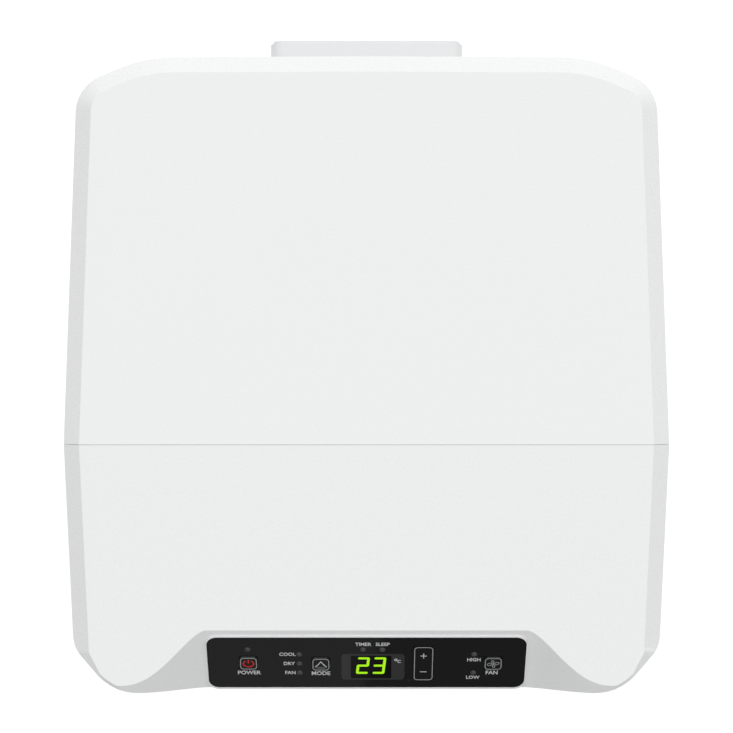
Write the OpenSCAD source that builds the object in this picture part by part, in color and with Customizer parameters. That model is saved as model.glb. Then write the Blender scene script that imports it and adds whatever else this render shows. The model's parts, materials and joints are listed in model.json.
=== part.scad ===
// Portable air conditioner: single-hose unit on casters, cabinet split into a front and a rear cover.
// X runs to the right, Y to the rear, Z up. The origin is on the floor, in the middle of the plan.

/* [Cabinet] */
// Width across the seam, where the cabinet is widest
cabinet_w = 367; // [362:1:372]
// Height of the top above the floor
cabinet_h = 700; // [698:1:712]
// Depth of the cabinet from the front face to the rear face
cabinet_d = 387; // [385:1:392]
// Distance from the front face to the seam between the covers
seam_from_front = 152; // [148:0.5:156]
// Wall thickness of the covers
wall = 3; // [2.5:0.5:3]
// Width of the bevel round the top
bevel = 11; // [9:1:11]
// Fall of the top from the seam to the front, in degrees
front_fall = 2; // [1:0.5:2.5]

/* [Control panel] */
// Tilt of the control panel from the horizontal, in degrees
panel_tilt = 34; // [33:0.5:35]
// Width of the glossy overlay
overlay_w = 194; // [192:1:195]
// Height of the overlay along its slope
overlay_h = 41.8; // [41.4:0.2:42]
// Travel of a push key
key_travel = 0.8; // [0.4:0.1:0.8]

/* [Air outlet] */
// Width of the outlet in the front
outlet_w = 240; // [236:1:242]
// Height of the outlet
outlet_h = 76; // [74:1:78]

/* [Exhaust] */
// Width of the box-shaped hose adapter
adapter_w = 142; // [140:1:146]
// Distance that the adapter stands behind the rear face
adapter_reach = 52; // [50:1:56]
// Radius of the hose socket in the adapter
socket_r = 63; // [60:0.5:64]

/* [Casters] */
// Radius of a caster wheel
caster_r = 19; // [18:0.5:19]
// Trail of the wheel behind its stem
caster_trail = 14; // [12:1:15]

/* [Hidden] */
$fn = 48;

// Overall plan: the origin is midway between the front face and the end of the adapter.
y_front = -(cabinet_d + adapter_reach) / 2;
y_rear = y_front + cabinet_d;
y_end = y_rear + adapter_reach;
seam_y = y_front + seam_from_front;
half_w = cabinet_w / 2;
seam_overrun = 6;
bevel_drop = 10;
narrow_bevel = 2.2;
corner_back = 29;
side_taper = 5.2;
front_turn = 31.8;
front_bow = 1.1;
rear_taper = 7.7;
rear_corner_back = 18.3;
rear_turn_x = 134.5;
rear_bow = 0.6;

// Running clearance of every pin in its bore, on the radius.
running = 0.05;
elbow_extra = 0.5;

// Lap joint of the covers: a tongue on the rear cover reaches under the edge of the front cover.
seam_gap = 0.2;
tongue_inset = 1.6;
tongue_reach = 6;
lap_gap = 0.3;

// Heights of the pan and the covers.
pan_z = 46;
pan_t = 4;
pan_rim_z = 84;
cover_z = 84.6;

// Scoop for the control panel: a surface swept along the slope, flat in the middle, rising at its flanks.
scoop_y = y_front + 40;
scoop_flat_half = 97.5;
scoop_flank = 50;
scoop_rise = 17.8;
scoop_steps = 16;
panel_below_edge = 5.2;
overlay_t = 2;
overlay_proud = 0.4;
overlay_r = 6.5;
rim_w = 1.1;
rim_proud = 0.8;
frame_floor = 3;

// Places on the overlay, from its middle: [across, up the slope].
power_at = [-72.1, -0.2];
mode_at = [-27.9, -1];
fan_at = [77.4, -0.4];
key_size = [10.6, 11];
rocker_at = [34.8, -0.75];
rocker_size = [12, 27.9];
window_at = [3.9, -3.65];
window_size = [38.6, 21.5];
display_size = [25, 19];
lamp_places = [[-72.3, 10.7], [-41, 6.8], [-41, -0.9], [-41, -8.5], [-2.1, 10.7], [9.6, 10.7], [65.6, 6.9],
    [65.4, -8.5]];
lamp_r = 1.8;
key_gap = 0.35;
key_proud = 0.7;
key_bottom = -6;
key_lip = 1.2;
rocker_pin_z = -3.1;
rocker_pin_r = 1;
board_top = -10.4;
board_t = 1.6;
switch_top = -7.4;
plunger_top = key_bottom - key_travel - 0.1;
plunger_r = 1.6;
nub_reach = 10;

// Air outlet.
outlet_z = 598;
frame_wall = 2.5;
frame_back_y = y_front + 106;
louvre_y = y_front + 15;
louvre_pitch = 24;
vane_y = y_front + 52;
vane_pitch = 58;
blade_t = 3;
pivot_r = 2;
crank_r = 1.5;
notch_w = 4;
louvre_notch_x = -60;
louvre_crank = 8.5;
vane_crank = 11;
bar_t = 2.4;
bar_half = 3;

// Evaporator side.
tray_z = 478;
tray_t = 4;
coil_w = 280;
coil_y = 138;
fin_count = 24;
fan_y = -20;
fan_r = 44;
fan_half = 114;
shaft_r = 4;

// Condenser side.
wheel_x = -40;
wheel_z = 208;
wheel_r = 84;
scroll_r = 98;
scroll_y = 60;
scroll_d = 54;
duct_w = 128;
duct_low = 340;
duct_high = 468;
adapter_z = 404;
adapter_h = 140;

// Compressor and electrical parts.
compressor_at = [-84, -108];
compressor_r = 52;
compressor_feet = [60, 180, 300];
grommet_ring = 66;
grommet_r = 9;
grommet_neck_r = 5;
stud_r = 2.6;
accumulator_at = [-8, -108];
splash_x = 98;
splash_y = 84;
splash_z = 84;
drain_x = 60;
drain_z = 62;
drain_r = 6;

// Intake grilles.
grille_w = 249;
grille_gap = 1.2;
grille_t = 4;
grille_y = y_rear - 6;
hinge_up = 2.5;
hinge_r = 1.5;
upper_z = [512, 662];
lower_z = [112, 314];

// Handles, screws and casters.
handle_y = 40;
handle_z = 560;
handle_size = [110, 42];
handle_depth = 22;
gland_at = [-110, 98];
stem_r = 4;
caster_boss_r = 10;
caster_half = 8;
axle_r = 3;
boss_half = 9;
screw_r = 1.6;
screw_head_r = 4;
gland_r = 9;
gland_flange_r = 12;
tray_screws = [[-110, 482], [110, 482]];
pan_screws = [[-60, 96], [60, 96]];
caster_places = [[-132, -162], [132, -162], [-132, 112], [132, 112]];

white = [0.93, 0.935, 0.94];
off_white = [0.86, 0.865, 0.87];
black = [0.1, 0.1, 0.11];
dark = [0.25, 0.26, 0.28];
copper = [0.72, 0.43, 0.26];
aluminium = [0.76, 0.78, 0.8];
steel = [0.6, 0.61, 0.63];
green = [0.1, 0.35, 0.2];

// ---------- Outlines ----------

function unit(v) = v / norm(v);
function flat(v) = [v.x, v.y];

// Points of a rounded corner at b, between a and c.
function corner(a, b, c, r, steps) =
    let (u = unit(flat(a) - flat(b)), v = unit(flat(c) - flat(b)), half = acos(u * v) / 2)
    let (middle = flat(b) + unit(u + v) * (r / sin(half)))
    let (start = flat(b) + u * (r / tan(half)) - middle, finish = flat(b) + v * (r / tan(half)) - middle)
    let (from = atan2(start.y, start.x), turn = atan2(finish.y, finish.x) - from)
    let (sweep = turn > 180 ? turn - 360 : turn < -180 ? turn + 360 : turn)
    [for (i = [0:steps]) middle + r * [cos(from + sweep * i / steps), sin(from + sweep * i / steps)]];

function rounded(v, steps = 6) = [for (i = [0:len(v) - 1])
    each (i == 0 || i == len(v) - 1) ? [flat(v[i])] : corner(v[i - 1], v[i], v[i + 1], v[i][2], steps)];

function mirrored(v) = [for (i = [len(v) - 1:-1:0]) [-v[i].x, v[i].y, v[i][2]]];

// The line moved inwards, to the left of its run; its two ends stay on the seam.
function inset(line, d) = [for (i = [0:len(line) - 1])
    (i == 0 || i == len(line) - 1)
        ? [line[i].x - sign(line[i].x) * d, line[i].y]
        : let (t = unit(line[i + 1] - line[i - 1])) line[i] + d * [-t.y, t.x]];

function past_seam(line, by) = [for (i = [0:len(line) - 1])
    (i == 0 || i == len(line) - 1) ? [line[i].x, line[i].y + by] : line[i]];

// Corners of the plan: [x, y, radius].
front_corner = [[-half_w, seam_y, 0], [side_taper - half_w, y_front + corner_back, 16],
    [front_turn - half_w, y_front + front_bow, 36]];
rear_corner = [[half_w, seam_y, 0], [half_w - rear_taper, y_rear - rear_corner_back, 24],
    [rear_turn_x, y_rear - rear_bow, 90]];
front_line = rounded(concat(front_corner, [[0, y_front, 2000]], mirrored(front_corner)));
rear_line = rounded(concat(rear_corner, [[0, y_rear, 2000]], mirrored(rear_corner)));

function rear_face(x) = y_rear - rear_bow * abs(x) / rear_turn_x;

// Half width of the front cover's plan at y, before its corner.
function side_x(y) = half_w - side_taper * (seam_y - y) / (seam_y - y_front - corner_back);

// Where a screw boss at x meets the inside of the rear cover.
function boss_end(x) = rear_face(abs(x) + boss_half) - wall - 0.3;
function top_z(y, fall = front_fall) = cabinet_h - (seam_y - y) * tan(fall);
function lift(line, z) = [for (p = line) [p.x, p.y, z]];
function under_top(line, drop, fall) = [for (p = line) [p.x, p.y, top_z(p.y, fall) - drop]];

// ---------- General shapes ----------

// A solid through rings of equal length; each ring runs anticlockwise seen from the last one.
module loft(rings) {
    n = len(rings[0]);
    last = (len(rings) - 1) * n;
    polyhedron(
        points = [for (ring = rings) each ring],
        faces = concat(
            [[for (i = [0:n - 1]) i]],
            [for (k = [0:len(rings) - 2], i = [0:n - 1])
                [k * n + i, (k + 1) * n + i, (k + 1) * n + (i + 1) % n, k * n + (i + 1) % n]],
            [[for (i = [n - 1:-1:0]) last + i]]),
        convexity = 8);
}

// Inner line of the bevel round the rear: the bevel has its full width everywhere.
function full_bevel(d) = inset(rear_line, d + bevel);

// Inner line of the bevel round the front: full width along the sides, narrow where the corner cuts into it.
function cut_bevel(d) = [for (p = inset(front_line, d + narrow_bevel))
    [sign(p.x) * min(abs(p.x), side_x(p.y) - d - bevel), p.y]];

// Half of the cabinet as a solid, moved inwards by d. Its open end moves along Y; its top falls forwards.
module half_cabinet(line, bevel_line, d, low_z, past, fall) {
    side = past_seam(inset(line, d), past);
    edge = past_seam(bevel_line, past);
    shoulder = [for (i = [0:len(side) - 1])
        [side[i].x, side[i].y, top_z(side[i].y, fall) - d - bevel_drop * norm(edge[i] - side[i]) / bevel]];
    loft([lift(side, low_z), shoulder, under_top(edge, d, fall)]);
}

module front_half(d, low_z, past) {
    half_cabinet(front_line, cut_bevel(d), d, low_z, past, front_fall);
}

module rear_half(d, low_z, past) {
    half_cabinet(rear_line, full_bevel(d), d, low_z, past, 0);
}

module rounded_rect(size, r) {
    square([size.x - 2 * r, size.y], center = true);
    square([size.x, size.y - 2 * r], center = true);
    for (x = [-1, 1], y = [-1, 1]) translate([x * (size.x / 2 - r), y * (size.y / 2 - r)]) circle(r);
}

module slab(size, r, low, high) {
    translate([0, 0, low]) linear_extrude(high - low) rounded_rect(size, r);
}

module box(low, high) {
    translate(low) cube(high - low);
}

module rod_x(r, from, to) {
    translate([from, 0, 0]) rotate([0, 90, 0]) cylinder(r = r, h = to - from);
}

module rod_y(r, from, to) {
    translate([0, from, 0]) rotate([-90, 0, 0]) cylinder(r = r, h = to - from);
}

module rod_z(r, from, to) {
    translate([0, 0, from]) cylinder(r = r, h = to - from);
}

// A round tube's outside along a line of points, with brazed ball elbows a little wider than the tube.
module tube(points, r) {
    for (i = [0:len(points) - 2]) {
        run = points[i + 1] - points[i];
        translate(points[i]) rotate([0, acos(run.z / norm(run)), atan2(run.y, run.x)])
            cylinder(r = r, h = norm(run));
        if (i > 0) translate(points[i]) sphere(r + elbow_extra);
    }
}

// An upright frame in the XZ plane, open in the middle.
module upright_frame(w, low, high, y, depth, border) {
    difference() {
        box([-w / 2, y, low], [w / 2, y + depth, high]);
        box([-w / 2 + border, y - 1, low + border], [w / 2 - border, y + depth + 1, high - border]);
    }
}

// ---------- Scoop and panel frame of reference ----------

function flank(t) = pow(sin(90 * pow(min(1, t), 0.75)), 2);
function scoop_right(drop) = [for (i = [0:scoop_steps])
    [scoop_flat_half + scoop_flank * i / scoop_steps, scoop_rise * flank(i / scoop_steps) - drop]];
function scoop_left(drop) = [for (i = [scoop_steps:-1:0])
    [-scoop_flat_half - scoop_flank * i / scoop_steps, scoop_rise * flank(i / scoop_steps) - drop]];

// Everything under the scoop's surface, less the given drop.
module under_scoop(drop) {
    far = half_w + 20;
    depth = 900;
    translate([0, scoop_y, top_z(scoop_y)]) rotate([90 + panel_tilt, 0, 0]) translate([0, 0, -700])
        linear_extrude(1400) polygon(concat(
            [[-far, -depth], [far, -depth], [far, scoop_rise - drop]],
            [for (i = [scoop_steps:-1:0]) scoop_right(drop)[i]],
            [for (i = [scoop_steps:-1:0]) scoop_left(drop)[i]],
            [[-far, scoop_rise - drop]]));
}

panel_down = panel_below_edge + overlay_h / 2;

// Middle of the overlay, with Y up the slope and Z out of the panel.
module at_panel() {
    translate([0, scoop_y - panel_down * cos(panel_tilt), top_z(scoop_y) - panel_down * sin(panel_tilt)])
        rotate([panel_tilt, 0, 0]) children();
}

// ---------- Cabinet ----------

module pan_block(d, low, high) {
    translate([0, 0, low]) linear_extrude(high - low)
        polygon(concat(inset(front_line, d), inset(rear_line, d)));
}

// Places of the compressor's feet round its axis, at a height.
module at_feet(z) {
    for (a = compressor_feet) translate([each compressor_at, z]) rotate(a) translate([grommet_ring, 0])
        children();
}

module base_pan() {
    color(off_white) difference() {
        union() {
            difference() {
                pan_block(2, pan_z, pan_rim_z);
                pan_block(6, pan_z + pan_t, pan_rim_z + 1);
            }
            for (p = caster_places) translate([p.x, p.y, pan_z + 1]) cylinder(r = caster_boss_r, h = 25);
            at_feet(pan_z + 1) cylinder(r = grommet_r, h = 7);
            for (s = pan_screws)
                box([s.x - boss_half, y_rear - 8, pan_z + 1], [s.x + boss_half, boss_end(s.x), s.y + 10]);
        }
        for (p = caster_places) translate([p.x, p.y, pan_z - 1]) cylinder(r = stem_r + running, h = 24);
        at_feet(pan_z + pan_t) cylinder(r = stud_r, h = 12);
        for (s = pan_screws) translate([s.x, 0, s.y]) rod_y(screw_r, y_rear - 10, y_rear);
        translate([drain_x, 0, drain_z]) rod_y(drain_r + running, y_rear - 20, y_rear + 5);
    }
}

module front_cover() {
    color(white) difference() {
        intersection() {
            front_half(0, cover_z, -seam_gap / 2);
            under_scoop(0);
        }
        intersection() {
            front_half(wall, cover_z - 1, seam_overrun);
            under_scoop(wall);
        }
        rear_half(tongue_inset - lap_gap, cover_z - 1, -tongue_reach - lap_gap);
        at_panel() slab([overlay_w + 2 * rim_w + 0.2, overlay_h + 2 * rim_w + 0.2], overlay_r + rim_w + 0.1,
            -12, 12);
        box([-outlet_w / 2 - 0.4, y_front - 5, outlet_z - outlet_h / 2 - 0.4],
            [outlet_w / 2 + 0.4, y_front + 12, outlet_z + outlet_h / 2 + 0.4]);
    }
}

module rear_cover() {
    color(white) difference() {
        union() {
            difference() {
                union() {
                    rear_half(0, cover_z, seam_gap / 2);
                    rear_half(tongue_inset, cover_z + 0.5, -tongue_reach);
                }
                rear_half(wall, cover_z - 1, -tongue_reach - 1);
            }
            for (z = [upper_z[0], lower_z[0]], side = [-1, 1]) hinge_lug(side, z + hinge_up);
        }
        for (z = [upper_z, lower_z]) {
            box([-grille_w / 2 - 0.8, y_rear - 15, z[0] - grille_gap],
                [grille_w / 2 + 0.8, y_rear + 5, z[1] + grille_gap]);
            translate([0, grille_y + grille_t / 2, z[0] + hinge_up])
                rod_x(hinge_r + running, -grille_w / 2 - 6.7, grille_w / 2 + 6.7);
        }
        box([-duct_w / 2 - 0.5, y_rear - 15, duct_low - 0.5],
            [duct_w / 2 + 0.5, y_rear + 5, duct_high + 0.5]);
        for (side = [-1, 1]) translate([side * half_w, handle_y, handle_z])
            cube([60, handle_size.x + 0.6, handle_size.y + 0.6], center = true);
        for (s = concat(tray_screws, pan_screws)) translate([s.x, 0, s.y])
            rod_y(screw_r + 0.6, y_rear - 15, y_rear + 5);
        translate([gland_at.x, 0, gland_at.y]) rod_y(gland_r + running, y_rear - 15, y_rear + 5);
    }
}

// Ear inside the rear cover that holds one pivot of a grille.
module hinge_lug(side, z) {
    inner = grille_w / 2 + 1.3;
    translate([side > 0 ? inner : -inner - 5, y_rear - 8, z - 3]) cube([5, 5.6, 6]);
}

module carry_handles() {
    color(off_white) for (side = [-1, 1]) difference() {
        translate([side * (half_w - 6 - handle_depth / 2), handle_y, handle_z])
            cube([handle_depth, handle_size.x, handle_size.y], center = true);
        translate([side * (half_w - 3 - handle_depth / 2), handle_y, handle_z])
            cube([handle_depth, handle_size.x - 5, handle_size.y - 5], center = true);
    }
}

module cabinet_screws() {
    color(steel) for (s = concat(tray_screws, pan_screws)) translate([s.x, 0, s.y]) {
        head = rear_face(abs(s.x) - screw_head_r - 1);
        rod_y(screw_r, y_rear - 10, head + 0.5);
        rod_y(screw_head_r, head, head + 1.6);
    }
}

module cord_gland() {
    color(dark) translate([gland_at.x, 0, gland_at.y]) difference() {
        union() {
            rod_y(gland_r, y_rear - 7, y_rear + 0.5);
            rod_y(gland_flange_r, rear_face(abs(gland_at.x) - gland_flange_r) + 0.05, y_rear + 3);
        }
        rod_y(4, y_rear - 10, y_rear + 5);
    }
}

// ---------- Control panel ----------

module key_holes(low, high, extra) {
    for (p = [power_at, mode_at, fan_at]) translate(p) slab(key_size + 2 * [extra, extra], 1.2, low, high);
    translate(rocker_at) slab(rocker_size + 2 * [extra, extra], 1.2, low, high);
}

module panel_frame() {
    size = [overlay_w + 2 * rim_w, overlay_h + 2 * rim_w];
    floor_top = overlay_proud - overlay_t;
    color(off_white) at_panel() difference() {
        slab(size, overlay_r + rim_w, floor_top - frame_floor, rim_proud);
        slab([overlay_w + 0.2, overlay_h + 0.2], overlay_r, floor_top, rim_proud + 1);
        key_holes(-20, 1, key_gap);
        translate(window_at) slab(display_size + [0.6, 0.6], 1, -20, 1);
        for (p = lamp_places) translate(p) rod_z(lamp_r + 0.1, -20, 1);
        translate([each rocker_at, rocker_pin_z])
            rod_x(rocker_pin_r + running, -rocker_size.x / 2 - 2.6, rocker_size.x / 2 + 2.6);
    }
}

module control_overlay() {
    color(black) at_panel() difference() {
        slab([overlay_w, overlay_h], overlay_r, overlay_proud - overlay_t, overlay_proud);
        key_holes(-20, 2, key_gap);
        translate(window_at) slab(window_size + [0.2, 0.2], 2.5, -20, 2);
        for (p = lamp_places) translate(p) rod_z(lamp_r + 0.05, -20, 2);
    }
}

module display_window() {
    color(dark) at_panel() translate(window_at)
        slab(window_size, 2.4, overlay_proud - overlay_t, overlay_proud);
}

module display_module() {
    color(black) at_panel() translate(window_at)
        slab(display_size, 0.8, board_top, overlay_proud - overlay_t - 0.2);
}

module indicator_lenses() {
    color(off_white) at_panel() for (p = lamp_places) translate(p) rod_z(lamp_r, board_top, overlay_proud);
}

module display_board() {
    color(green) at_panel() slab([180, 36], 2, board_top - board_t, board_top);
}

module tact_switches() {
    places = concat([power_at, mode_at, fan_at], [for (s = [-1, 1]) rocker_at + [0, s * nub_reach]]);
    color(steel) at_panel() for (p = places) translate(p) {
        slab([6, 6], 0.5, board_top, switch_top);
        rod_z(plunger_r, switch_top - 0.5, plunger_top);
    }
}

module push_key(place) {
    floor_bottom = overlay_proud - overlay_t - frame_floor;
    color(black) at_panel() translate(place) {
        slab(key_size, 1, key_bottom + 0.5, key_proud);
        slab(key_size + 2 * [key_lip, key_lip], 1.2, key_bottom, floor_bottom - 0.2);
    }
}

module power_key() { push_key(power_at); }
module mode_key() { push_key(mode_at); }
module fan_key() { push_key(fan_at); }

module temperature_rocker() {
    color(black) at_panel() translate(rocker_at) {
        slab(rocker_size, 1, -5.6, key_proud);
        for (s = [-1, 1]) translate([0, s * nub_reach]) rod_z(1.5, -6.3, -5);
        translate([0, 0, rocker_pin_z]) rod_x(rocker_pin_r, -rocker_size.x / 2 - 2, rocker_size.x / 2 + 2);
    }
}

// ---------- Air outlet ----------

louvre_heights = [for (i = [-1:1]) outlet_z + i * louvre_pitch];
vane_xs = [for (i = [-1:1]) i * vane_pitch];

module outlet_frame() {
    low = outlet_z - outlet_h / 2;
    high = outlet_z + outlet_h / 2;
    color(off_white) difference() {
        box([-outlet_w / 2, y_front + 1, low], [outlet_w / 2, frame_back_y, high]);
        box([-outlet_w / 2 + frame_wall, y_front, low + frame_wall],
            [outlet_w / 2 - frame_wall, frame_back_y + 1, high - frame_wall]);
        for (z = louvre_heights) translate([0, louvre_y, z])
            rod_x(pivot_r + running, -outlet_w / 2 - 1, outlet_w / 2 + 1);
        for (x = vane_xs) translate([x, vane_y, 0]) rod_z(pivot_r + running, low - 1, high + 1);
    }
}

// A blade along X that turns about X: pivots at both ends, a crank pin across a notch in its rear edge.
module blade(half_span, pivot_half, front, rear, crank, notch_x) {
    difference() {
        box([-half_span, -front, -blade_t / 2], [half_span, rear, blade_t / 2]);
        box([notch_x - notch_w / 2, crank - 5, -blade_t], [notch_x + notch_w / 2, rear + 1, blade_t]);
    }
    translate([0, crank, 0]) rod_x(crank_r, notch_x - notch_w / 2 - 0.5, notch_x + notch_w / 2 + 0.5);
    for (side = [-1, 1])
        rod_x(pivot_r, side > 0 ? half_span - 1 : -pivot_half, side > 0 ? pivot_half : 1 - half_span);
}

// A bar along Z with a bore for each crank pin.
module link_bar(pitch) {
    difference() {
        box([-bar_t / 2, -bar_half, -pitch - 4], [bar_t / 2, bar_half, pitch + 4]);
        for (i = [-1:1]) translate([0, 0, i * pitch]) rod_x(crank_r + running, -bar_t, bar_t);
    }
}

module louvre(z) {
    color(white) translate([0, louvre_y, z])
        blade(outlet_w / 2 - frame_wall - 0.6, outlet_w / 2 - 0.4, 11, 12, louvre_crank, louvre_notch_x);
}

module louvre_lower() { louvre(louvre_heights[0]); }
module louvre_middle() { louvre(louvre_heights[1]); }
module louvre_upper() { louvre(louvre_heights[2]); }

module louvre_link() {
    color(off_white) translate([louvre_notch_x, louvre_y + louvre_crank, outlet_z]) link_bar(louvre_pitch);
}

module vane(x) {
    color(off_white) translate([x, vane_y, outlet_z]) rotate([0, -90, 0])
        blade(outlet_h / 2 - frame_wall - 0.6, outlet_h / 2 - 0.4, 15, 15, vane_crank, 0);
}

module vane_left() { vane(vane_xs[0]); }
module vane_centre() { vane(vane_xs[1]); }
module vane_right() { vane(vane_xs[2]); }

module vane_link() {
    color(dark) translate([0, vane_y + vane_crank, outlet_z]) rotate([0, -90, 0]) link_bar(vane_pitch);
}

// ---------- Evaporator side ----------

module drip_tray() {
    color(off_white) difference() {
        union() {
            difference() {
                box([-146, -80, tray_z], [146, 156, tray_z + 16]);
                box([-142, -76, tray_z + tray_t], [142, 152, tray_z + 20]);
            }
            for (s = tray_screws)
                box([s.x - boss_half, 153, tray_z], [s.x + boss_half, boss_end(s.x), tray_z + 12]);
        }
        for (s = tray_screws) translate([s.x, 0, s.y]) rod_y(screw_r, y_rear - 12, y_rear);
    }
}

module coil(low, high) {
    rows = 5;
    pitch = (high - low) / rows;
    color(aluminium) for (i = [0:fin_count - 1])
        translate([-coil_w / 2 + i * (coil_w - 1) / (fin_count - 1), coil_y - 14, low])
            cube([1, 28, high - low]);
    color(copper) for (r = [0:rows - 1]) translate([0, coil_y, low + pitch * (r + 0.5)])
        rod_x(4, -coil_w / 2 - 4, coil_w / 2 + 4);
}

module evaporator_coil() { coil(486, 656); }
module condenser_coil() { coil(92, 322); }

module fan_housing() {
    half = outlet_w / 2;
    inner_r = fan_r + 5;
    low = outlet_z - outlet_h / 2;
    high = outlet_z + outlet_h / 2;
    color(off_white) difference() {
        union() {
            box([-half, frame_back_y + 0.2, low], [half, fan_y, high]);
            translate([0, fan_y, outlet_z]) rod_x(inner_r + frame_wall, -half, half);
        }
        box([-half + frame_wall, frame_back_y - 1, low + frame_wall],
            [half - frame_wall, fan_y, high - frame_wall]);
        translate([0, fan_y, outlet_z]) rod_x(inner_r, -half + frame_wall, half - frame_wall);
        box([-half + frame_wall, fan_y + 5, outlet_z - 20], [half - frame_wall, fan_y + 80, outlet_z + 80]);
        translate([0, fan_y, outlet_z]) rod_x(shaft_r + running, -half - 1, half + 1);
    }
}

module evaporator_fan() {
    color(dark) translate([0, fan_y, outlet_z]) {
        for (a = [0:12:348]) rotate([a, 0, 0]) translate([-fan_half, -0.8, fan_r - 10])
            cube([2 * fan_half, 1.6, 9]);
        for (x = [-fan_half, -1.5, fan_half - 3]) rod_x(fan_r, x, x + 3);
        rod_x(shaft_r, -outlet_w / 2, outlet_w / 2 + 12);
    }
}

module evaporator_fan_motor() {
    color(steel) translate([0, fan_y, outlet_z]) difference() {
        rod_x(30, outlet_w / 2 + 0.5, outlet_w / 2 + 32);
        rod_x(shaft_r + running, outlet_w / 2 - 1, outlet_w / 2 + 14);
    }
}

// ---------- Condenser side ----------

module condenser_scroll() {
    front = scroll_y;
    back = scroll_y + scroll_d;
    color(off_white) difference() {
        union() {
            translate([wheel_x, 0, wheel_z]) rod_y(scroll_r, front, back);
            box([-duct_w / 2, front, wheel_z], [duct_w / 2, back, duct_high]);
        }
        translate([wheel_x, 0, wheel_z]) rod_y(scroll_r - 2, front + 2, back - 2);
        box([-duct_w / 2 + 2, front + 2, wheel_z], [duct_w / 2 - 2, back - 2, duct_high - 2]);
        box([-duct_w / 2 + 2, front + 2, duct_low + 2], [duct_w / 2 - 2, back + 1, duct_high - 2]);
        translate([wheel_x, 0, wheel_z]) rod_y(wheel_r - 14, back - 3, back + 1);
        translate([wheel_x, 0, wheel_z]) rod_y(shaft_r + 2, front - 1, front + 3);
    }
}

module condenser_fan() {
    color(dark) translate([wheel_x, 0, wheel_z]) {
        rod_y(wheel_r, scroll_y + 6, scroll_y + 9);
        rod_y(16, scroll_y + 6, scroll_y + 24);
        rod_y(shaft_r, scroll_y - 14, scroll_y + 8);
        for (a = [0:15:345]) rotate([0, a, 0])
            translate([-0.9, scroll_y + 8, wheel_r - 20]) cube([1.8, 38, 18]);
        difference() {
            rod_y(wheel_r, scroll_y + 44, scroll_y + 47);
            rod_y(wheel_r - 18, scroll_y + 43, scroll_y + 48);
        }
    }
}

module condenser_fan_motor() {
    color(steel) translate([wheel_x, 0, wheel_z]) difference() {
        rod_y(38, scroll_y - 48, scroll_y - 1);
        rod_y(shaft_r + running, scroll_y - 16, scroll_y);
    }
}

module exhaust_duct() {
    front = scroll_y + scroll_d + 0.2;
    color(off_white) difference() {
        box([-duct_w / 2, front, duct_low], [duct_w / 2, y_rear + 16, duct_high]);
        box([-duct_w / 2 + 2, front - 1, duct_low + 2], [duct_w / 2 - 2, y_rear + 20, duct_high - 2]);
    }
}

module hose_adapter() {
    start = y_rear + 0.6;
    color(white) translate([0, 0, adapter_z]) rotate([90, 0, 0]) mirror([0, 0, 1]) difference() {
        union() {
            slab([adapter_w, adapter_h], 10, start, y_end - 2);
            slab([adapter_w - 4, adapter_h - 4], 8, y_end - 3, y_end);
        }
        slab([duct_w + 1.2, duct_high - duct_low + 1.2], 1, start - 1, y_end - 24);
        rod_z(socket_r, y_end - 30, y_end + 1);
    }
}

// ---------- Compressor and electrical parts ----------

module compressor() {
    color(dark) difference() {
        union() {
            translate([each compressor_at, 66]) cylinder(r = compressor_r, h = 160);
            translate([each compressor_at, 226]) sphere(compressor_r * 0.995);
            for (a = compressor_feet) translate([each compressor_at, 62]) rotate(a) {
                translate([30, -9, 0]) cube([grommet_ring - 30, 18, 5]);
                translate([grommet_ring, 0]) cylinder(r = 11, h = 5);
            }
            translate([each accumulator_at, 100]) cylinder(r = 22, h = 120);
            translate([compressor_at.x + 40, compressor_at.y - 4, 120]) cube([24, 8, 60]);
        }
        at_feet(60) cylinder(r = grommet_neck_r, h = 10);
    }
}

module compressor_grommets() {
    color(dark) at_feet(54) difference() {
        union() {
            cylinder(r = grommet_r, h = 8);
            cylinder(r = grommet_neck_r, h = 16);
        }
        translate([0, 0, -1]) cylinder(r = stud_r, h = 18);
    }
}

module discharge_pipe() {
    high = 330;
    coil_end = 299;
    side = -152;
    start = [each compressor_at, 277.8];
    color(copper) tube([start, [start.x, start.y, high], [side, start.y, high], [side, coil_y, high],
        [side, coil_y, coil_end], [-coil_w / 2 - 4, coil_y, coil_end]], 3.5);
}

module suction_pipe() {
    high = 345;
    coil_end = 503;
    side = 152;
    turn_y = -30;
    color(copper) tube([[coil_w / 2 + 4, coil_y, coil_end], [side, coil_y, coil_end], [side, coil_y, high],
        [side, turn_y, high], [accumulator_at.x, turn_y, high], [each accumulator_at, high],
        [each accumulator_at, 220]], 4);
}

module capillary_tube() {
    ends = [115, 639];
    color(copper) tube([[coil_w / 2 + 4, coil_y, ends[0]], [162, coil_y, ends[0]], [162, coil_y, ends[1]],
        [coil_w / 2 + 4, coil_y, ends[1]]], 1.5);
}

module electrical_box() {
    color(off_white) difference() {
        box([50, -196, 120], [160, -80, 300]);
        box([53, -193, 123], [157, -70, 297]);
    }
}

module main_board() {
    color(green) box([60, -186, 123], [61.6, -90, 290]);
}

module run_capacitor() {
    color(steel) translate([130, -140, 123]) cylinder(r = 20, h = 90);
}

module splash_motor() {
    color(steel) translate([splash_x, 0, splash_z]) difference() {
        rod_y(18, splash_y - 50, splash_y - 6);
        rod_y(2 + running, splash_y - 14, splash_y);
    }
}

module splash_wheel() {
    color(white) translate([splash_x, 0, splash_z]) {
        rod_y(22, splash_y, splash_y + 3);
        rod_y(2, splash_y - 12, splash_y + 1);
        for (a = [0:30:330]) rotate([0, a, 0]) translate([-4, splash_y, 18]) cube([8, 3, 11]);
    }
}

module drain_plug() {
    color(dark) translate([drain_x, 0, drain_z]) {
        rod_y(drain_r, y_rear - 14, y_rear - 1);
        rod_y(drain_r + 3, y_rear - 1.6, y_rear + 3);
    }
}

// ---------- Intake grilles ----------

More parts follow.
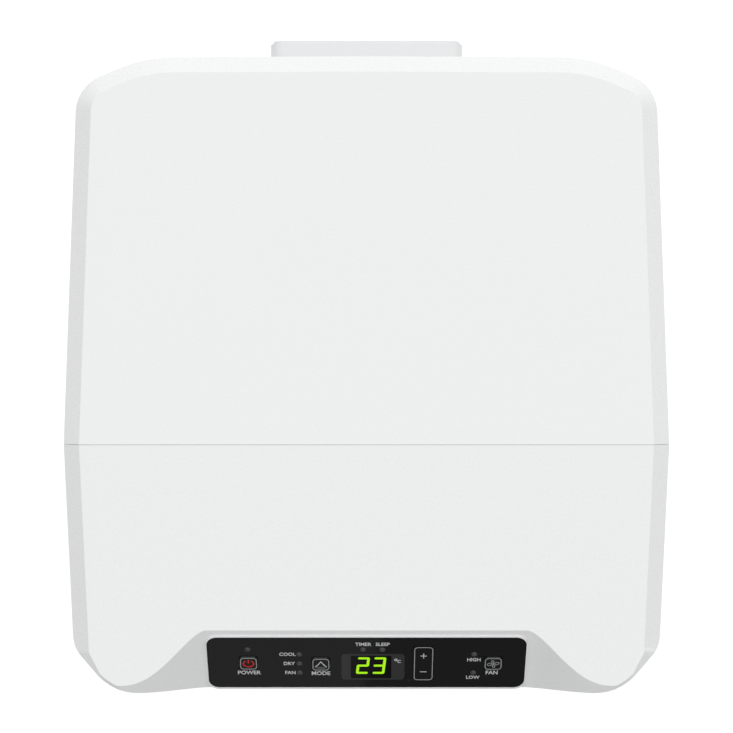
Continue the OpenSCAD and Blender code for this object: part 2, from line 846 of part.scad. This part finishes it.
module grille(z) {
    border = 9;
    columns = 3;
    slot_w = (grille_w - border * (columns + 1)) / columns;
    slot_pitch = 10;
    count = floor((z[1] - z[0] - 2 * border) / slot_pitch);
    color(white) {
        difference() {
            box([-grille_w / 2, grille_y, z[0]], [grille_w / 2, grille_y + grille_t, z[1]]);
            for (c = [0:columns - 1], i = [0:count - 1])
                translate([-grille_w / 2 + border + c * (slot_w + border), grille_y - 1,
                    z[0] + border + i * slot_pitch + 1.5]) cube([slot_w, grille_t + 2, slot_pitch - 3]);
        }
        translate([0, grille_y + grille_t / 2, z[0] + hinge_up]) for (side = [-1, 1])
            rod_x(hinge_r, side > 0 ? grille_w / 2 - 1 : -grille_w / 2 - 5,
                side > 0 ? grille_w / 2 + 5 : 1 - grille_w / 2);
    }
}

module filter(z) {
    color(dark) upright_frame(grille_w - 8, z[0] + 8, z[1] - 4, grille_y - 2, 2, 6);
    color(dark) {
        for (x = [-100:20:100])
            box([x - 0.5, grille_y - 1.5, z[0] + 10], [x + 0.5, grille_y - 0.5, z[1] - 6]);
        for (k = [1:7]) box([-grille_w / 2 + 6, grille_y - 1.5, z[0] + 8 + k * (z[1] - z[0] - 12) / 8],
            [grille_w / 2 - 6, grille_y - 0.5, z[0] + 9 + k * (z[1] - z[0] - 12) / 8]);
    }
}

module upper_grille() { grille(upper_z); }
module upper_filter() { filter(upper_z); }
module lower_grille() { grille(lower_z); }
module lower_filter() { filter(lower_z); }

// ---------- Casters ----------

module caster_fork(place) {
    color(dark) translate([place.x, place.y, 0]) {
        rod_z(stem_r, 43, pan_z + 20);
        rod_z(15, 40.5, 45.4);
        for (side = [-1, 1]) translate([side * (caster_half + 2) - 1.5, 0, caster_r]) {
            translate([0, caster_trail - 6, -5]) cube([3, 12, 26]);
            translate([0, -6, 14]) cube([3, caster_trail + 6, 8]);
        }
        translate([0, caster_trail, caster_r]) rod_x(axle_r, -caster_half - 3.5, caster_half + 3.5);
    }
}

module caster_wheel(place) {
    color(dark) translate([place.x, place.y + caster_trail, caster_r]) difference() {
        rod_x(caster_r, -caster_half, caster_half);
        rod_x(axle_r + running, -caster_half - 1, caster_half + 1);
    }
}

module caster_fork_front_left() { caster_fork(caster_places[0]); }
module caster_fork_front_right() { caster_fork(caster_places[1]); }
module caster_fork_rear_left() { caster_fork(caster_places[2]); }
module caster_fork_rear_right() { caster_fork(caster_places[3]); }
module caster_wheel_front_left() { caster_wheel(caster_places[0]); }
module caster_wheel_front_right() { caster_wheel(caster_places[1]); }
module caster_wheel_rear_left() { caster_wheel(caster_places[2]); }
module caster_wheel_rear_right() { caster_wheel(caster_places[3]); }

base_pan();
front_cover();
rear_cover();
carry_handles();
cabinet_screws();
cord_gland();
panel_frame();
control_overlay();
display_window();
display_module();
indicator_lenses();
display_board();
tact_switches();
power_key();
mode_key();
fan_key();
temperature_rocker();
outlet_frame();
louvre_lower();
louvre_middle();
louvre_upper();
louvre_link();
vane_left();
vane_centre();
vane_right();
vane_link();
drip_tray();
evaporator_coil();
fan_housing();
evaporator_fan();
evaporator_fan_motor();
condenser_coil();
condenser_scroll();
condenser_fan();
condenser_fan_motor();
exhaust_duct();
hose_adapter();
compressor();
compressor_grommets();
discharge_pipe();
suction_pipe();
capillary_tube();
electrical_box();
main_board();
run_capacitor();
splash_motor();
splash_wheel();
drain_plug();
upper_grille();
upper_filter();
lower_grille();
lower_filter();
caster_fork_front_left();
caster_fork_front_right();
caster_fork_rear_left();
caster_fork_rear_right();
caster_wheel_front_left();
caster_wheel_front_right();
caster_wheel_rear_left();
caster_wheel_rear_right();
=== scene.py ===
"""Portable air conditioner seen from straight above: looks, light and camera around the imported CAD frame."""
import json
import math

import bmesh
import bpy
from mathutils import Matrix, Vector


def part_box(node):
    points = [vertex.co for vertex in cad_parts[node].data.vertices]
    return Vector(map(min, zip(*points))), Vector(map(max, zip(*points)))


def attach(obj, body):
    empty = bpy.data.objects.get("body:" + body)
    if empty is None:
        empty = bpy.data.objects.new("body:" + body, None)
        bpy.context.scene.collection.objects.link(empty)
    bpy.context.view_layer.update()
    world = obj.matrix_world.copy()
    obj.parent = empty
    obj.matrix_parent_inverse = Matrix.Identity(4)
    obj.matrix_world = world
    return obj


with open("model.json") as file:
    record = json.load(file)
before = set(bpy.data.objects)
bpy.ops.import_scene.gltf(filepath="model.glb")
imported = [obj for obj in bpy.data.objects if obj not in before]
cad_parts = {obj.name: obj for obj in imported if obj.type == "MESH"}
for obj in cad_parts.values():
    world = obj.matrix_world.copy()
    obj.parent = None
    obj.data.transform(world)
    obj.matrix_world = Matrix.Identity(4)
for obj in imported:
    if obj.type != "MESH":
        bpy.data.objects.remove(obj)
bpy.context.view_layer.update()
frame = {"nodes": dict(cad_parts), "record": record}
nodes = frame["nodes"]
MM = 0.001
GRAIN_DEPTH = 0.05 * MM

# ---------------------------------------------------------------- materials


def new_material(name):
    material = bpy.data.materials.new(name)
    material.use_nodes = True
    tree = material.node_tree
    return material, tree, tree.nodes["Principled BSDF"]


def noise(tree, scale, detail, stretch=(1, 1, 1)):
    """A noise in the object's own metres, stretched along an axis where asked."""
    place = tree.nodes.new("ShaderNodeTexCoord")
    mapping = tree.nodes.new("ShaderNodeMapping")
    mapping.inputs["Scale"].default_value = stretch
    texture = tree.nodes.new("ShaderNodeTexNoise")
    texture.inputs["Scale"].default_value = scale
    texture.inputs["Detail"].default_value = detail
    tree.links.new(place.outputs["Object"], mapping.inputs["Vector"])
    tree.links.new(mapping.outputs["Vector"], texture.inputs["Vector"])
    return texture.outputs["Fac"]


def spread(tree, value, low, high):
    """A noise value carried onto the range low to high."""
    node = tree.nodes.new("ShaderNodeMapRange")
    node.inputs["From Min"].default_value = 0.3
    node.inputs["From Max"].default_value = 0.7
    node.inputs["To Min"].default_value = low
    node.inputs["To Max"].default_value = high
    tree.links.new(value, node.inputs["Value"])
    return node.outputs["Result"]


def surface(name, color, rough, drift, grain=900, bump=0.04, metal=0, ior=1.46, coat=0, stretch=(1, 1, 1)):
    """A moulded or metal surface: slow colour drift, fine grain in roughness and bump."""
    material, tree, shader = new_material(name)
    shader.inputs["Metallic"].default_value = metal
    shader.inputs["IOR"].default_value = ior
    shader.inputs["Coat Weight"].default_value = coat
    shader.inputs["Coat Roughness"].default_value = 0.06
    mix = tree.nodes.new("ShaderNodeMix")
    mix.data_type = "RGBA"
    mix.inputs[6].default_value = (*[c * (1 - drift) for c in color], 1)
    mix.inputs[7].default_value = (*[min(1.0, c * (1 + drift)) for c in color], 1)
    tree.links.new(noise(tree, 7, 2.0), mix.inputs[0])
    tree.links.new(mix.outputs[2], shader.inputs["Base Color"])
    fine = noise(tree, grain, 2.0, stretch)
    tree.links.new(spread(tree, fine, rough * 0.88, rough * 1.12), shader.inputs["Roughness"])
    relief = tree.nodes.new("ShaderNodeBump")
    relief.inputs["Strength"].default_value = bump
    relief.inputs["Distance"].default_value = GRAIN_DEPTH
    tree.links.new(fine, relief.inputs["Height"])
    tree.links.new(relief.outputs["Normal"], shader.inputs["Normal"])
    return material


def glow(name, color, strength):
    """A lit display segment, a little uneven as light through a diffuser is."""
    material, tree, shader = new_material(name)
    shader.inputs["Base Color"].default_value = (*[c * 0.1 for c in color], 1)
    shader.inputs["Specular IOR Level"].default_value = 0
    shader.inputs["Emission Color"].default_value = (*color, 1)
    tree.links.new(spread(tree, noise(tree, 500, 1.0), strength * 0.93, strength * 1.07),
                   shader.inputs["Emission Strength"])
    return material


LOOK = {
    "cover": surface("cover_white", (0.88, 0.885, 0.89), 0.28, 0.003, 1400, 0.01),
    "pan": surface("satin_grey_plastic", (0.72, 0.73, 0.74), 0.45, 0.01, 1500, 0.12),
    "overlay": surface("gloss_black", (0.0132, 0.0132, 0.0137), 0.05, 0.05, 600, 0.01, ior=1.33),
    "window": surface("tinted_window", (0.04, 0.04, 0.042), 0.1, 0.03, 600, 0.01, ior=1.33),
    "lens": surface("unlit_lens", (0.06, 0.065, 0.06), 0.35, 0.05, 900, 0.05),
    "board": surface("solder_mask", (0.02, 0.11, 0.05), 0.35, 0.08, 500, 0.1),
    "dark_plastic": surface("dark_plastic", (0.035, 0.035, 0.038), 0.5, 0.06, 1500, 0.2),
    "mesh": surface("filter_mesh", (0.05, 0.052, 0.055), 0.7, 0.08, 2200, 0.4),
    "rubber": surface("soft_rubber", (0.02, 0.02, 0.02), 0.7, 0.1, 1200, 0.3),
    "tyre": surface("caster_tread", (0.03, 0.03, 0.032), 0.6, 0.12, 900, 0.3),
    "steel": surface("brushed_steel", (0.55, 0.56, 0.58), 0.3, 0.03, 700, 0.2, metal=1, stretch=(1, 14, 1)),
    "painted": surface("black_paint", (0.015, 0.015, 0.017), 0.3, 0.1, 500, 0.15, coat=0.4),
    "copper": surface("drawn_copper", (0.72, 0.33, 0.17), 0.25, 0.08, 600, 0.15, metal=1.0),
    "coil": surface("coil_fins", (0.75, 0.77, 0.79), 0.35, 0.04, 900, 0.2, metal=1.0, stretch=(1, 1, 8)),
}
INK_GREY = surface("ink_grey", (0.36, 0.37, 0.37), 0.4, 0.05)
INK_DIM = surface("ink_dim", (0.09, 0.095, 0.095), 0.4, 0.05)
INK_LIGHT = surface("ink_light", (0.62, 0.63, 0.63), 0.4, 0.04)
INK_RED = surface("ink_red", (0.60, 0.012, 0.012), 0.45, 0.05)
DISPLAY_BLACK = surface("display_black", (0.004, 0.004, 0.004), 0.1, 0.05, ior=1.33)
DIGIT_GREEN = glow("digit_green", (0.46, 1.0, 0.02), 0.82)
# Painted shade: the adapter's white is darker than the cover's, standing in for the shade the rear wall casts
# on it.
ADAPTER_WHITE_PAINTED_SHADE = surface("adapter_white_painted_shade", (0.79, 0.795, 0.80), 0.32, 0.005, 1400, 0.02)

# ---------------------------------------------------------------- CAD nodes

# Edge radii in mm. Names that start with one of SOFT_EDGES get SOFT_RADIUS, and all others stay sharp.
ROUNDED = {
    "front_cover": 1.1, "rear_cover": 1.1, "base_pan": 1.0, "hose_adapter": 1.6, "panel_frame": 0.45,
    "control_overlay": 0.2, "display_window": 0.15, "upper_grille": 0.6, "lower_grille": 0.6,
    "outlet_frame": 0.6, "carry_handles": 1.0,
}
SOFT_EDGES = ("louvre_", "vane_", "caster_", "drain_plug", "cord_gland", "cabinet_screws", "power_key",
              "mode_key", "fan_key", "temperature_rocker", "compressor")
SOFT_RADIUS = 0.3
ROUNDED_ABOVE = math.radians(28)
WELD_GAP = 0.01 * MM


def edge_radius(name):
    if name in ROUNDED:
        return ROUNDED[name]
    return SOFT_RADIUS if name.startswith(SOFT_EDGES) else 0.0


def finish_node(obj, slot, radius):
    """Welds the tessellation's split vertices, rounds the moulded edges and sets smooth shading."""
    mesh = obj.data
    if "custom_normal" in mesh.attributes:
        mesh.attributes.remove(mesh.attributes["custom_normal"])
    mesh.polygons.foreach_set("use_smooth", [True] * len(mesh.polygons))
    mesh.materials.clear()
    mesh.materials.append(LOOK[slot])
    weld = obj.modifiers.new("weld", "WELD")
    weld.merge_threshold = WELD_GAP
    if radius:
        rounding = obj.modifiers.new("rounding", "BEVEL")
        rounding.width = radius * MM
        rounding.segments = 3
        rounding.limit_method = "ANGLE"
        rounding.angle_limit = ROUNDED_ABOVE
        rounding.harden_normals = False
    normals = obj.modifiers.new("normals", "WEIGHTED_NORMAL")
    normals.keep_sharp = False
    normals.weight = 100


for part in frame["record"]["subparts"]:
    finish_node(nodes[part["node"]], part["material_slot"], edge_radius(part["node"]))
# The adapter takes the darker white, which carries painted shade.
nodes["hose_adapter"].data.materials[0] = ADAPTER_WHITE_PAINTED_SHADE

# ---------------------------------------------------------------- panel graphics

# The panel's own axes: X across, Y up the slope, Z out of the panel. The overlay's face stands PROUD of
# their plane and the keys' faces stand KEY_PROUD of it. INK is the thickness of what is printed on them.
TILT = math.radians(34)
OVERLAY_THICK = 2 * MM
PROUD = 0.4 * MM
KEY_PROUD = 0.7 * MM
INK = 0.04 * MM


def panel_matrix():
    """The panel's axes as a matrix, placed from the middle of the overlay's box."""
    low, high = (Vector(corner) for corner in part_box("control_overlay"))
    middle = (low + high) / 2
    out = Vector((0, -math.sin(TILT), math.cos(TILT)))
    up = Vector((0, math.cos(TILT), math.sin(TILT)))
    origin = middle + out * (OVERLAY_THICK / 2 - PROUD)
    matrix = Matrix((Vector((1, 0, 0)), up, out)).transposed().to_4x4()
    matrix.translation = origin
    return matrix


PANEL = panel_matrix()


def printed(name, shapes, level, material, body):
    """Flat ink on the panel. A shape is a list of loops in mm: an outline, or an outer and an inner loop."""
    form = bmesh.new()
    for loops in shapes:
        rings = [[form.verts.new((x * MM, y * MM, level)) for x, y in loop] for loop in loops]
        if len(rings) == 1:
            form.faces.new(rings[0])
        else:
            outer, inner = rings
            for i in range(len(outer)):
                j = (i + 1) % len(outer)
                form.faces.new((outer[i], outer[j], inner[j], inner[i]))
    bmesh.ops.recalc_face_normals(form, faces=form.faces)
    lifted = bmesh.ops.extrude_face_region(form, geom=form.faces[:])
    moved = [v for v in lifted["geom"] if isinstance(v, bmesh.types.BMVert)]
    bmesh.ops.translate(form, verts=moved, vec=(0, 0, INK))
    bmesh.ops.recalc_face_normals(form, faces=form.faces)
    mesh = bpy.data.meshes.new(name)
    form.to_mesh(mesh)
    form.free()
    mesh.transform(PANEL)
    mesh.materials.append(material)
    return placed(name, mesh, body)


def placed(name, mesh, body):
    obj = bpy.data.objects.new(name, mesh)
    bpy.context.scene.collection.objects.link(obj)
    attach(obj, body)
    return obj


def shifted(loop, x, y):
    return [(px + x, py + y) for px, py in loop]


def rounded_loop(w, h, r, steps=5):
    x, y = w / 2 - r, h / 2 - r
    loop = []
    for cx, cy, start in ((x, y, 0), (-x, y, 90), (-x, -y, 180), (x, -y, 270)):
        turns = [math.radians(start + 90 * i / steps) for i in range(steps + 1)]
        loop += [(cx + r * math.cos(a), cy + r * math.sin(a)) for a in turns]
    return loop


def outline(w, h, r, line, x, y):
    return [shifted(rounded_loop(w, h, r), x, y),
            shifted(rounded_loop(w - 2 * line, h - 2 * line, max(0.1, r - line)), x, y)]


def stroke(points, line):
    """An open line with square ends and mitred bends, as one outline."""
    left, right = [], []
    for i, point in enumerate(points):
        here = Vector(point)
        before = (here - Vector(points[i - 1])).normalized() if i else None
        after = (Vector(points[i + 1]) - here).normalized() if i < len(points) - 1 else None
        run = ((before or after) + (after or before)).normalized()
        side = Vector((-run.y, run.x))
        reach = line / 2 / max(0.4, side.dot(Vector((-(after or before).y, (after or before).x))))
        left.append(tuple(here + side * reach))
        right.append(tuple(here - side * reach))
    return [left + right[::-1]]


# The built-in font: a capital's height as a share of its size, how much bolder it is, and its narrowing.
CAPITAL_SHARE = 0.7
BOLDER = 0.08 * MM
NARROWED = 0.95


def lettering(name, text, height, x, y, material):
    """A generic function word in the built-in font, centred on x, y, with capitals of height mm."""
    curve = bpy.data.curves.new(name, "FONT")
    curve.body = text
    curve.align_x = "CENTER"
    curve.align_y = "CENTER"
    curve.size = height * MM / CAPITAL_SHARE
    curve.offset = BOLDER
    curve.extrude = INK / 2
    curve.resolution_u = 3
    holder = bpy.data.objects.new(name, curve)
    bpy.context.scene.collection.objects.link(holder)
    bpy.context.view_layer.update()
    mesh = bpy.data.meshes.new_from_object(holder.evaluated_get(bpy.context.evaluated_depsgraph_get()))
    bpy.data.objects.remove(holder)
    place = Matrix.Translation((x * MM, y * MM, PROUD + INK / 2))
    mesh.transform(PANEL @ place @ Matrix.Diagonal((NARROWED, 1, 1, 1)))
    mesh.materials.clear()
    mesh.materials.append(material)
    return placed(name, mesh, "cabinet")


# In mm on the panel's axes: the middles of the keys, a key's size, and the outline printed on its top.
POWER, MODE, FAN, ROCKER = (-72.1, -0.2), (-27.9, -1.0), (77.4, -0.4), (34.8, -0.75)
KEY_W, KEY_H = 10.6, 11.0
MARK_W, MARK_H, MARK_R, MARK_LINE = KEY_W - 0.4, KEY_H - 1.6, 2.2, 0.5
MARK_DROP = 0.5
CHEVRON = [(-3.6, -1.9), (-2.9, -1.5), (0, 2.3), (2.9, -1.5), (3.6, -1.9)]


def ellipse(rx, ry, turn=0.0, steps=20):
    c, s = math.cos(math.radians(turn)), math.sin(math.radians(turn))
    angles = [2 * math.pi * i / steps for i in range(steps)]
    points = [(rx * math.cos(a), ry * math.sin(a)) for a in angles]
    return [(x * c - y * s, x * s + y * c) for x, y in points]


def ellipse_arc(rx, ry, start, end, steps=18):
    angles = [math.radians(start + (end - start) * i / steps) for i in range(steps + 1)]
    return [(rx * math.cos(a), ry * math.sin(a)) for a in angles]


def key_face(name, place, body, shapes, material):
    """A thin outline on the key's top, a dim line at its upper edge, and the icon inside the outline."""
    x, y = place[0], place[1] - MARK_DROP
    edge = shifted(rounded_loop(MARK_W - 2.4, 0.55, 0.25), x, place[1] + KEY_H / 2 - 0.55)
    icon = [[shifted(loop, x, y) for loop in shape] for shape in shapes]
    printed(name + "_outline", [outline(MARK_W, MARK_H, MARK_R, MARK_LINE, x, y)], KEY_PROUD, INK_GREY, body)
    printed(name + "_edge", [[edge]], KEY_PROUD, INK_DIM, body)
    printed(name + "_icon", icon, KEY_PROUD, material, body)


def power_icon():
    """A wide ring open at the top, and a bar in the opening."""
    ring = ellipse_arc(3.6, 3.0, 122, 418) + ellipse_arc(2.7, 2.1, 418, 122)
    return [[ring], stroke([(0, 0.3), (0, 3.2)], 0.9)]


def fan_icon():
    """Four outlined blades round a hub, the level pair longer than the upright one."""
    shapes = [[ellipse(0.55, 0.55)]]
    for turn, reach, rx, ry in ((8, 2.25, 1.6, 1.15), (98, 1.9, 1.25, 0.95), (188, 2.25, 1.6, 1.15),
                                (278, 1.9, 1.25, 0.95)):
        x, y = reach * math.cos(math.radians(turn)), reach * math.sin(math.radians(turn))
        shapes.append([shifted(ellipse(rx, ry, turn + 18), x, y),
                       shifted(ellipse(rx - 0.42, ry - 0.42, turn + 18), x, y)])
    return shapes


key_face("power_mark", POWER, "power_key", power_icon(), INK_RED)
key_face("mode_mark", MODE, "mode_key", [stroke(CHEVRON, 0.6)], INK_LIGHT)
# Painted highlight: a grey ellipse low on the mode key stands in for the light caught in its dished top.
printed("mode_key_painted_dish_highlight", [[shifted(ellipse(3.0, 0.9), MODE[0], MODE[1] - 3.2)]], KEY_PROUD, INK_DIM,
        "mode_key")
key_face("fan_mark", FAN, "fan_key", fan_icon(), INK_GREY)

printed("rocker_outline", [outline(11.5, 27.4, MARK_R, MARK_LINE, *ROCKER)], KEY_PROUD, INK_GREY,
        "temperature_rocker")


def rocker_sign(points, line, up):
    return [shifted(stroke(points, line)[0], ROCKER[0], ROCKER[1] + up)]


PLUS_UP, MINUS_UP = 6.5, -6.7
printed("rocker_plus_minus",
        [rocker_sign([(-2, 0), (-0.3, 0)], 0.5, PLUS_UP), rocker_sign([(0.3, 0), (2, 0)], 0.5, PLUS_UP),
         rocker_sign([(0, -2), (0, 2)], 0.6, PLUS_UP), rocker_sign([(-2, 0), (2, 0)], 0.5, MINUS_UP)],
        KEY_PROUD, INK_LIGHT, "temperature_rocker")

WORDS = (("POWER", -72, -8.5), ("MODE", -28, -9.1), ("FAN", 76.8, -8.5), ("COOL", -48.2, 6.8),
         ("DRY", -47.3, -0.9), ("FAN", -46.7, -8.5), ("TIMER", -2, 15), ("SLEEP", 9.8, 15),
         ("HIGH", 65.5, 2.3), ("LOW", 65.2, -12.5))
KEY_WORD, SMALL_WORD = 3.0, 2.6
for label, x, y in WORDS:
    names_key = label in ("POWER", "MODE") or x > 70
    cap = KEY_WORD if names_key else SMALL_WORD
    lettering(f"word_{label.lower()}_{round(x)}".replace("-", "m"), label, cap, x, y, INK_LIGHT)

# Display: black field, then two seven-segment digits.
DISPLAY = (2.8, -3.7)
printed("display_field", [[shifted(rounded_loop(24.8, 18.8, 0.8), *DISPLAY)]], PROUD, DISPLAY_BLACK,
        "cabinet")
DIGIT_W, DIGIT_H, LINE = 7.5, 13.8, 1.65
SEGMENT_GAP = 0.25
SLANT = math.tan(math.radians(5.2))
# The two ends of each segment: 0 or 1 across the digit, and -1, 0 or 1 up it.
SEGMENTS = {
    "a": ((0, 1), (1, 1)), "b": ((1, 1), (1, 0)), "c": ((1, 0), (1, -1)), "d": ((0, -1), (1, -1)),
    "e": ((0, 0), (0, -1)), "f": ((0, 1), (0, 0)), "g": ((0, 0), (1, 0)),
}
LIT = {"2": "abged", "3": "abgcd"}


def segment(key, cx, cy):
    """A bar with round ends between two corners of the digit, slanted with it."""
    half_w, half_h = (DIGIT_W - LINE) / 2, (DIGIT_H - LINE) / 2
    (ax, ay), (bx, by) = SEGMENTS[key]
    a = Vector(((ax * 2 - 1) * half_w, ay * half_h))
    b = Vector(((bx * 2 - 1) * half_w, by * half_h))
    run = (b - a).normalized()
    turn = math.atan2(run.y, run.x)
    a, b = a + run * SEGMENT_GAP, b - run * SEGMENT_GAP
    half_turn = [math.pi * i / 6 - math.pi / 2 for i in range(7)]
    ends = [(b, turn + t) for t in half_turn] + [(a, turn + math.pi + t) for t in half_turn]
    loop = [p + Vector((math.cos(t), math.sin(t))) * LINE / 2 for p, t in ends]
    return [[(cx + p.x + p.y * SLANT, cy + p.y) for p in loop]]


DIGIT_LEVEL = PROUD + INK
DIGIT_Y = -2.5
for digit, cx in (("2", -2.2), ("3", 7.8)):
    printed(f"digit_{digit}", [segment(key, cx, DIGIT_Y) for key in LIT[digit]], DIGIT_LEVEL, DIGIT_GREEN,
            "cabinet")
printed("degree_ring", [[shifted(ellipse(1.0, 1.0), 17.9, 2.3), shifted(ellipse(0.45, 0.45), 17.9, 2.3)]],
        PROUD, INK_LIGHT, "cabinet")
lettering("word_celsius", "C", 2.3, 19.9, 0.8, INK_LIGHT)

# ---------------------------------------------------------------- stage, light and camera

floor_mesh = bpy.data.meshes.new("floor")
FLOOR_HALF = 6
floor_corners = [(x * FLOOR_HALF, y * FLOOR_HALF, 0) for x, y in ((-1, -1), (1, -1), (1, 1), (-1, 1))]
floor_mesh.from_pydata(floor_corners, [], [(0, 1, 2, 3)])
floor = bpy.data.objects.new("floor", floor_mesh)
bpy.context.scene.collection.objects.link(floor)
floor_look = surface("floor_pale", (0.5, 0.5, 0.5), 0.9, 0.005, 60, 0.0, ior=1.3)


def floor_painted_glow(material, near, far, inner, outer):
    """Paints light onto the floor where the object stands, filling the shade it casts there: the glow is near
    up to the inner distance and fades to far from the outer one.
    """
    tree = material.node_tree
    shader = tree.nodes["Principled BSDF"]
    shader.inputs["Emission Color"].default_value = (1, 1, 1, 1)
    place = tree.nodes.new("ShaderNodeTexCoord")
    distance = tree.nodes.new("ShaderNodeVectorMath")
    distance.operation = "LENGTH"
    fade = tree.nodes.new("ShaderNodeMapRange")
    fade.inputs["From Min"].default_value = inner
    fade.inputs["From Max"].default_value = outer
    fade.inputs["To Min"].default_value = near
    fade.inputs["To Max"].default_value = far
    tree.links.new(place.outputs["Object"], distance.inputs[0])
    tree.links.new(distance.outputs["Value"], fade.inputs["Value"])
    tree.links.new(fade.outputs["Result"], shader.inputs["Emission Strength"])


# Painted light: the floor glows strongly round the object to hide its shadow, and weakly further off.
floor_painted_glow(floor_look, near=0.66, far=0.18, inner=0.65, outer=1.5)
floor_mesh.materials.append(floor_look)


def studio_world(base, up, rear, right, least):
    """A soft dome whose light grows towards the top, the rear and a little to the right."""
    world = bpy.data.worlds.new("studio")
    world.use_nodes = True
    tree = world.node_tree
    tree.nodes["Background"].inputs["Color"].default_value = (1, 1, 1, 1)
    direction = tree.nodes.new("ShaderNodeTexCoord")
    slope = tree.nodes.new("ShaderNodeVectorMath")
    slope.operation = "DOT_PRODUCT"
    slope.inputs[1].default_value = (right, rear, up)
    level = tree.nodes.new("ShaderNodeMath")
    level.inputs[1].default_value = base
    lowest = tree.nodes.new("ShaderNodeMath")
    lowest.operation = "MAXIMUM"
    lowest.inputs[1].default_value = least
    tree.links.new(direction.outputs["Generated"], slope.inputs[0])
    tree.links.new(slope.outputs["Value"], level.inputs[0])
    tree.links.new(level.outputs[0], lowest.inputs[0])
    tree.links.new(lowest.outputs[0], tree.nodes["Background"].inputs["Strength"])
    bpy.context.scene.world = world


studio_world(base=0.08, up=1.23, rear=0.69, right=0.10, least=0.08)


def area_light(name, place, target, size, power, roll=0.0):
    data = bpy.data.lights.new(name, "AREA")
    data.shape = "RECTANGLE"
    data.size, data.size_y = size
    data.energy = power
    lamp = bpy.data.objects.new(name, data)
    turn = (Vector(target) - Vector(place)).to_track_quat("-Z", "Y").to_matrix().to_4x4()
    lamp.matrix_world = Matrix.Translation(place) @ turn @ Matrix.Rotation(roll, 4, "Z")
    bpy.context.scene.collection.objects.link(lamp)


LIGHT_TARGET = (0, 0, 0.6)
# The card stands upright in front, rolled to one side, and is reflected in the black panel.
CARD = (-0.494, -2.0, 1.28)
CARD_SIZE = (1.1, 1.3)
CARD_ROLL = math.radians(-23.6)
area_light("key_rear", (0.45, 2.2, 2.7), LIGHT_TARGET, (2.4, 2.0), 2.5)
area_light("card_front_left", CARD, (CARD[0], 0, CARD[2]), CARD_SIZE, 1.2, CARD_ROLL)
for side, across, power in (("left", -2.5, 3.0), ("right", 2.5, 3.6)):
    area_light("fill_" + side, (across, 0.3, 1.2), LIGHT_TARGET, (1.2, 2.0), power)

CAMERA_Y = -0.0205
CAMERA_ABOVE_TOP = 1.0
LENS, SENSOR = 81.86, 36
camera_data = bpy.data.cameras.new("camera")
camera_data.lens = LENS
camera_data.sensor_width = SENSOR
camera = bpy.data.objects.new("camera", camera_data)
camera.location = (0, CAMERA_Y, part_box("rear_cover")[1][2] + CAMERA_ABOVE_TOP)
bpy.context.scene.collection.objects.link(camera)
bpy.context.scene.camera = camera
bpy.context.scene.view_settings.view_transform = "Standard"
bpy.context.scene.view_settings.look = "None"
